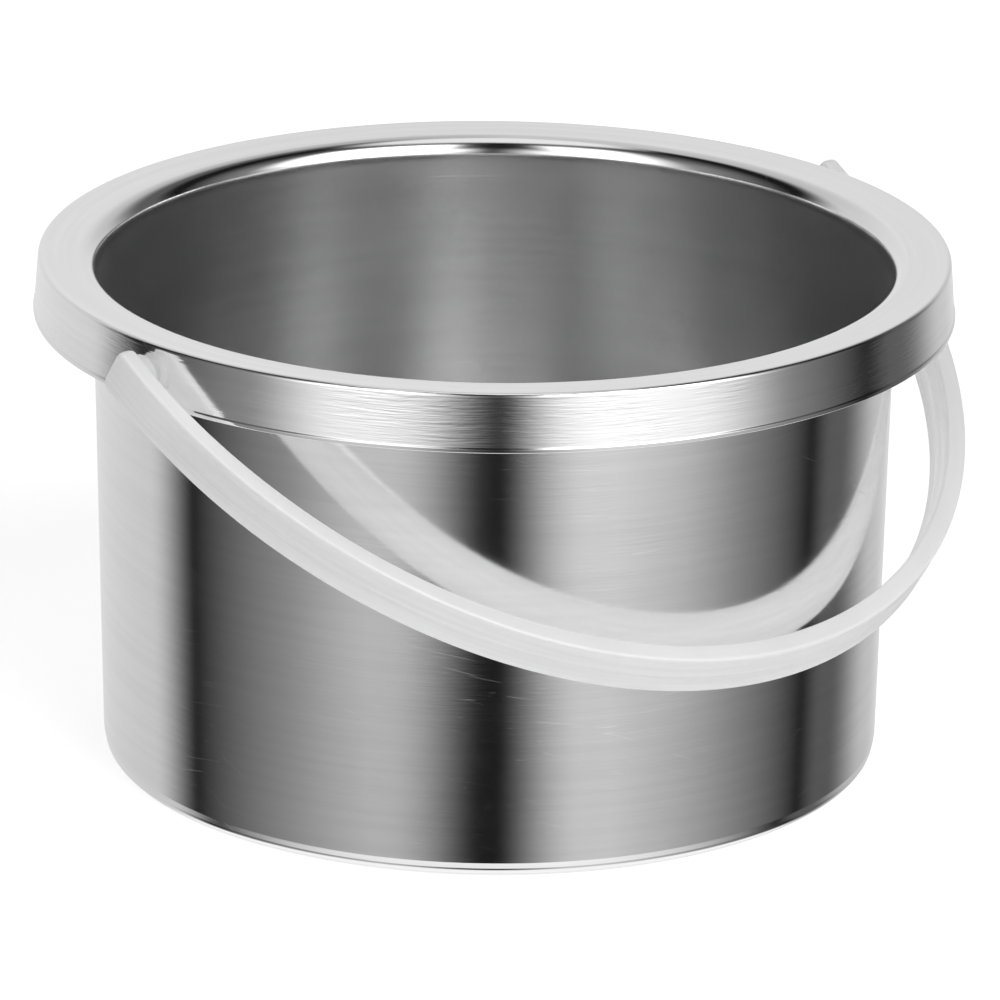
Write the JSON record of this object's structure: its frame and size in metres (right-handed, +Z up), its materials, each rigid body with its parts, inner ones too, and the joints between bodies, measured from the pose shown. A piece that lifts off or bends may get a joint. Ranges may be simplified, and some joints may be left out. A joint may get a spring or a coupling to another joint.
{
  "type": "wax warmer pot",
  "caption": "Round drawn metal pot for a salon wax warmer, with a dished rim, a downturned collar, and a moulded translucent bail handle that swings on pegs snapped into the collar.",
  "frame": {"origin": "centre of the underside of the base, on the pot's axis", "axes": "+Z up along the pot's axis; X along the bail's pivot axis; the bail hangs down over the -Y side at rest"},
  "size_m": [0.1494, 0.14, 0.0785],
  "materials": {
    "pot_metal": "drawn and turned bright sheet with fine circumferential polishing lines",
    "bail_plastic": "natural translucent milky polypropylene, smooth satin moulding"
  },
  "bodies": {
    "pot": {"pot_body": "pot_metal"},
    "bail": {"bail_handle": "bail_plastic"}
  },
  "joints": [
    {"name": "bail_swing", "type": "hinge", "parent": "pot", "child": "bail", "pos_m": [0, 0, 0.0738], "axis": [-1, 0, 0], "range_deg": [-3, 247.4]}
  ]
}
